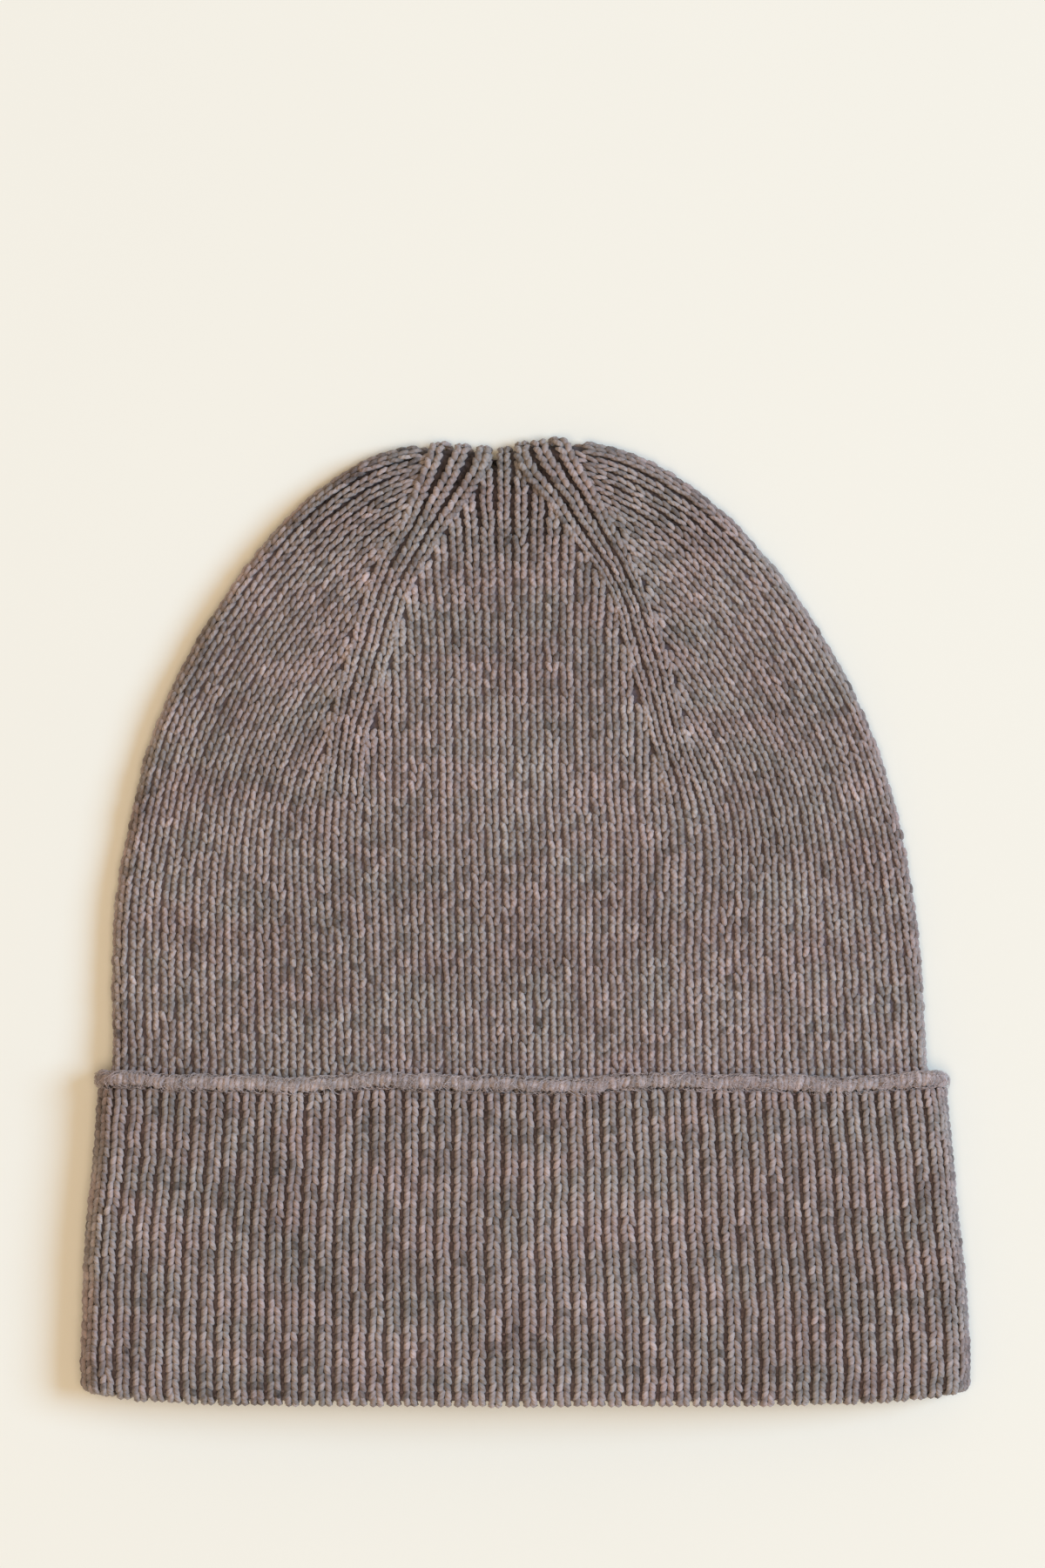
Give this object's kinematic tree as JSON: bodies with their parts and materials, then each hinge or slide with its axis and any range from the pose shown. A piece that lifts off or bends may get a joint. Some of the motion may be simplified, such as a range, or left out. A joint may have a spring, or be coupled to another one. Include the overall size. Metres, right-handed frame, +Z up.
{
  "type": "beanie",
  "caption": "Knitted beanie lying flat, with a domed crown narrowed and gathered at the tip and a ribbed cuff turned up round the mouth.",
  "frame": {"origin": "on the surface that the hat lies on, under the middle of its outline", "axes": "+X to the right of the front as it lies, +Y from the mouth to the top of the crown, +Z up out of the front face"},
  "size_m": [0.2106, 0.2289, 0.02],
  "materials": {
    "crown_knit": "matt plain knit in heathered wool",
    "cuff_rib": "matt ribbed knit in heathered wool",
    "cast_on_edge": "soft pale cast-on edge"
  },
  "bodies": {
    "root": {"crown": "crown_knit", "cuff": "cuff_rib", "cuff_edge": "cast_on_edge"}
  },
  "joints": []
}
